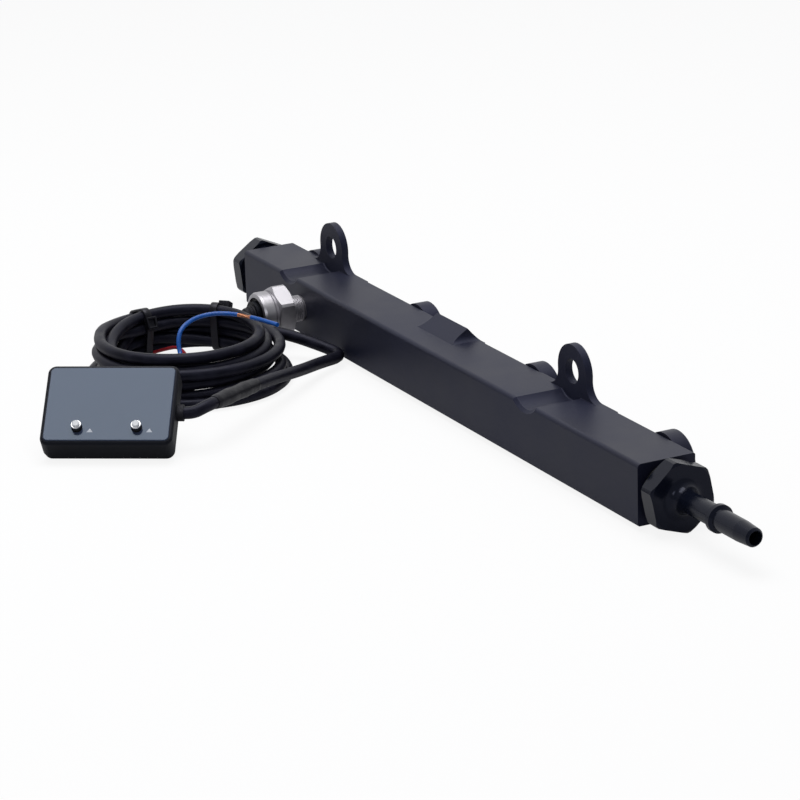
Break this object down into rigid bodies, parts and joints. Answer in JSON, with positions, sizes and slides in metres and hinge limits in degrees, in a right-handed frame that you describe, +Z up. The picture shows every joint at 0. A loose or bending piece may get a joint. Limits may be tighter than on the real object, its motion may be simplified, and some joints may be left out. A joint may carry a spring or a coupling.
{
  "type": "fuel rail",
  "caption": "Square black fuel rail with injector bosses, bolt ears, quick-connect inlet, end plug, pressure sensor, coiled cable and small button meter.",
  "frame": {"origin": "half way between the axes of the two ear holes, on the ears' and the rail's back face", "axes": "+X along the rail towards the inlet fitting, +Y along the ear bolts and out of the injector bores, +Z up"},
  "size_m": [0.3899, 0.1809, 0.0437],
  "materials": {
    "rail_anodised": "satin black anodised, fine blasted grain",
    "fitting_anodised": "glossier black anodised, turned",
    "seal_rubber": "smooth matt rubber",
    "stainless": "turned and milled stainless steel",
    "ceramic": "matt ceramic",
    "circuit_board": "lacquered board",
    "black_moulding": "finely textured moulding",
    "soft_moulding": "soft matt moulding",
    "cable_jacket": "smooth satin jacket",
    "shrink_tube": "shrunk tubing, satin",
    "blue_insulation": "smooth insulation",
    "red_insulation": "smooth insulation",
    "nylon_tie": "moulded nylon",
    "smoked_face": "polished, nearly opaque smoke tint",
    "display_module": "unlit digit module",
    "screw_steel": "plated steel",
    "switch_housing": "moulded",
    "button_cap": "bright ring with a pale dome"
  },
  "bodies": {
    "rail": {"rail_body": "rail_anodised", "inlet_fitting": "fitting_anodised", "end_plug": "fitting_anodised", "inlet_seal": "seal_rubber", "plug_seal": "seal_rubber", "sensor_body": "stainless", "sensor_seal": "seal_rubber", "sensor_cell": "ceramic", "sensor_board": "circuit_board", "sensor_insert": "black_moulding", "sensor_gland": "soft_moulding", "sensor_lead": "cable_jacket", "cable_coil": "cable_jacket", "meter_lead": "cable_jacket", "heat_shrink": "shrink_tube", "power_wire_blue": "blue_insulation", "power_wire_red": "red_insulation", "cable_tie_1": "nylon_tie", "cable_tie_2": "nylon_tie", "meter_case": "black_moulding", "meter_bottom_cover": "black_moulding", "meter_face": "smoked_face", "meter_circuit_board": "circuit_board", "meter_display": "display_module", "meter_sleeve": "soft_moulding", "meter_screws": "screw_steel", "meter_switch_left": "switch_housing", "meter_switch_right": "switch_housing"},
    "left_button": {"button_stem_left": "switch_housing", "button_cap_left": "button_cap"},
    "right_button": {"button_stem_right": "switch_housing", "button_cap_right": "button_cap"}
  },
  "joints": [
    {"name": "left_button_press", "type": "slide", "parent": "rail", "child": "left_button", "axis": [-0.5187, 0.3317, -0.788], "range_m": [0, 0.0004], "stiffness_N_per_m": 2500},
    {"name": "right_button_press", "type": "slide", "parent": "rail", "child": "right_button", "axis": [-0.5187, 0.3317, -0.788], "range_m": [0, 0.0004], "stiffness_N_per_m": 2500}
  ]
}
